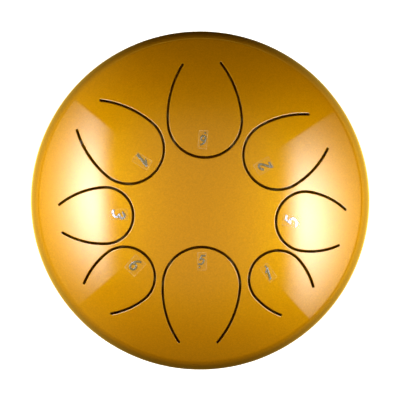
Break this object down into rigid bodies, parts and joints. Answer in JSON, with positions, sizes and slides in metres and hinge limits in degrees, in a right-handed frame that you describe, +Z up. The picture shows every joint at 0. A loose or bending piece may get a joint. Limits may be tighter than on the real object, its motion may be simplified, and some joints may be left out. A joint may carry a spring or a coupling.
{
  "type": "steel tongue drum",
  "caption": "Gold domed steel tongue drum, a pan played by hand: note tongues cut in the dome over a bowl with a sound hole, each free to flex at its root, on rubber feet.",
  "frame": {"origin": "on the surface the feet stand on, under the drum's axis", "axes": "+Z up along the drum's axis; +Y towards the tongue marked 6 with a dot under it (the top of the picture), +X towards the tongue marked 5 with no dot"},
  "size_m": [0.255, 0.255, 0.1301],
  "materials": {
    "gold_paint": "gloss metallic lacquer",
    "black_rubber": "matte",
    "zinc_steel": "zinc plated",
    "clear_film": "clear gloss",
    "silver_foil": "bright foil"
  },
  "bodies": {
    "drum": {"top_shell": "gold_paint", "bottom_shell": "gold_paint", "seam_weld": "gold_paint", "rubber_foot_1": "black_rubber", "rubber_foot_2": "black_rubber", "rubber_foot_3": "black_rubber", "foot_washers": "zinc_steel", "foot_screws": "zinc_steel", "foot_nuts": "zinc_steel"},
    "tongue_low6": {"tongue_low6": "gold_paint", "label_low6": "clear_film", "numeral_low6": "silver_foil"},
    "tongue_low5": {"tongue_low5": "gold_paint", "label_low5": "clear_film", "numeral_low5": "silver_foil"},
    "tongue_1": {"tongue_1": "gold_paint", "label_1": "clear_film", "numeral_1": "silver_foil"},
    "tongue_2": {"tongue_2": "gold_paint", "label_2": "clear_film", "numeral_2": "silver_foil"},
    "tongue_3": {"tongue_3": "gold_paint", "label_3": "clear_film", "numeral_3": "silver_foil"},
    "tongue_5": {"tongue_5": "gold_paint", "label_5": "clear_film", "numeral_5": "silver_foil"},
    "tongue_6": {"tongue_6": "gold_paint", "label_6": "clear_film", "numeral_6": "silver_foil"},
    "tongue_high1": {"tongue_high1": "gold_paint", "label_high1": "clear_film", "numeral_high1": "silver_foil"}
  },
  "joints": [
    {"name": "tongue_low6_flex", "type": "hinge", "parent": "drum", "child": "tongue_low6", "pos_m": [0.00113, 0.10049, 0.10262], "axis": [0.9984, 0.0469, -0.0329], "range_deg": [-1, 1], "stiffness_Nm_per_rad": 119},
    {"name": "tongue_low5_flex", "type": "hinge", "parent": "drum", "child": "tongue_low5", "pos_m": [-0.00145, -0.10428, 0.10042], "axis": [-1, 0.0084, -0.0033], "range_deg": [-1, 1], "stiffness_Nm_per_rad": 106},
    {"name": "tongue_1_flex", "type": "hinge", "parent": "drum", "child": "tongue_1", "pos_m": [-0.08189, 0.06273, 0.10109], "axis": [0.6195, 0.785, 0.0085], "range_deg": [-1, 1], "stiffness_Nm_per_rad": 133},
    {"name": "tongue_2_flex", "type": "hinge", "parent": "drum", "child": "tongue_2", "pos_m": [0.0865, 0.05071, 0.10273], "axis": [0.4872, -0.8732, 0.012], "range_deg": [-1, 1], "stiffness_Nm_per_rad": 128},
    {"name": "tongue_3_flex", "type": "hinge", "parent": "drum", "child": "tongue_3", "pos_m": [-0.10227, -0.01333, 0.10123], "axis": [-0.1169, 0.9931, 0.0072], "range_deg": [-1, 1], "stiffness_Nm_per_rad": 99.8},
    {"name": "tongue_5_flex", "type": "hinge", "parent": "drum", "child": "tongue_5", "pos_m": [0.10446, -0.01984, 0.09921], "axis": [-0.1828, -0.9831, -0.0023], "range_deg": [-1, 1], "stiffness_Nm_per_rad": 120},
    {"name": "tongue_6_flex", "type": "hinge", "parent": "drum", "child": "tongue_6", "pos_m": [-0.07534, -0.07211, 0.10038], "axis": [-0.6673, 0.7445, 0.0194], "range_deg": [-1, 1], "stiffness_Nm_per_rad": 135},
    {"name": "tongue_high1_flex", "type": "hinge", "parent": "drum", "child": "tongue_high1", "pos_m": [0.07116, -0.07375, 0.1014], "axis": [-0.7523, -0.6582, 0.0283], "range_deg": [-1, 1], "stiffness_Nm_per_rad": 128}
  ]
}
